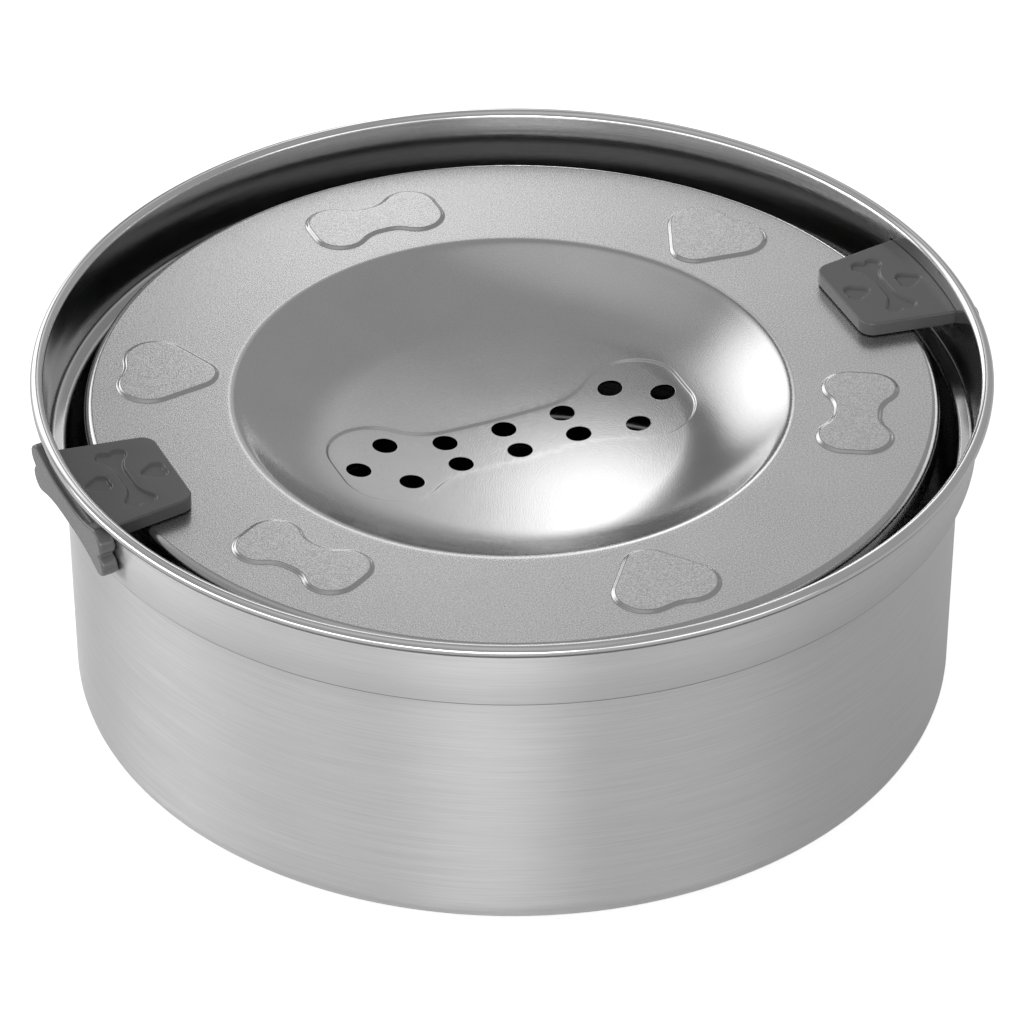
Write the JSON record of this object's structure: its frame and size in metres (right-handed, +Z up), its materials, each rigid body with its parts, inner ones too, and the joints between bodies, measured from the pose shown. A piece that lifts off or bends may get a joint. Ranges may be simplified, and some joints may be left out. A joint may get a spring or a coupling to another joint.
{
  "type": "floating water bowl",
  "caption": "Round steel pet water bowl with a floating drinking dish: a perforated hollow plate rides on the water below the rolled rim, kept in by slide-in latches.",
  "frame": {"origin": "on the bowl's axis at the standing plane, under the grip ring", "axes": "+Z up along the bowl's axis, +X through the right latch, +Y level across it"},
  "size_m": [0.2508, 0.25, 0.096],
  "materials": {
    "bowl_steel": "brushed around the wall, polished inside and on the rim",
    "float_steel": "fine sand-blasted ring with a smooth dish",
    "pan_steel": "plain drawn sheet",
    "seal_rubber": "matte",
    "grip_rubber": "matte, fine grooves",
    "latch_plastic": "dark moulded, satin, with sunk marks"
  },
  "bodies": {
    "bowl": {"bowl_shell": "bowl_steel", "base_grip_ring": "grip_rubber"},
    "float": {"float_top_plate": "float_steel", "float_pan": "pan_steel", "outer_seam_gasket": "seal_rubber", "inner_seam_gasket": "seal_rubber"},
    "left_latch": {"left_latch": "latch_plastic"},
    "right_latch": {"right_latch": "latch_plastic"}
  },
  "joints": [
    {"name": "float_rise", "type": "slide", "parent": "bowl", "child": "float", "axis": [0, 0, 1], "range_m": [-0.0625, 0], "stiffness_N_per_m": 273, "springref_m": 0.0175},
    {"name": "left_latch_pull", "type": "slide", "parent": "bowl", "child": "left_latch", "axis": [-1, 0, 0], "range_m": [0, 0.032]},
    {"name": "right_latch_pull", "type": "slide", "parent": "bowl", "child": "right_latch", "axis": [1, 0, 0], "range_m": [0, 0.032]}
  ]
}
